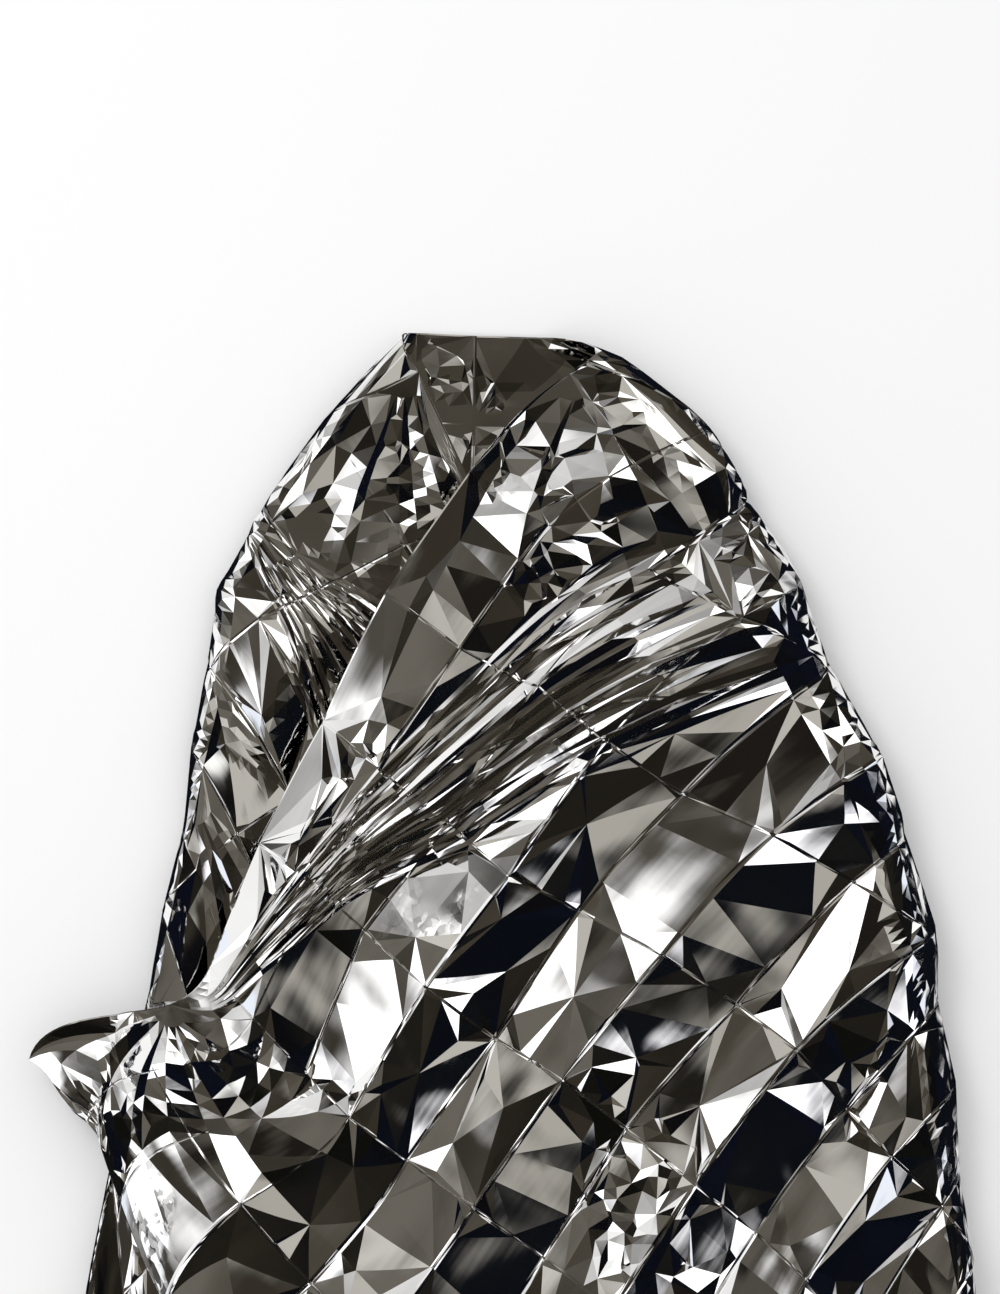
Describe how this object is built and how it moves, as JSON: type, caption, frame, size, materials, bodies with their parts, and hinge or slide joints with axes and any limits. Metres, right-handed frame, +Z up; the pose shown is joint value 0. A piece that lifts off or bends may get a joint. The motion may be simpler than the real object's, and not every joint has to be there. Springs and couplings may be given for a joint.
{
  "type": "emergency foil blanket",
  "caption": "Rectangular sheet of thin silver metallised film for keeping a person warm, laid flat with both sides folded over the front as a wrap.",
  "frame": {"origin": "under the middle of the folded blanket's outline, on the surface that it lies on", "axes": "+Z up from the surface, +Y from the bottom edge towards the neck of the wrap, +X across it towards the side that the top front is folded over from"},
  "size_m": [0.9851, 1.509, 0.0732],
  "materials": {
    "silver_foil": "mirror silver metallised film, crumpled"
  },
  "bodies": {
    "root": {"foil_sheet": "silver_foil"}
  },
  "joints": []
}
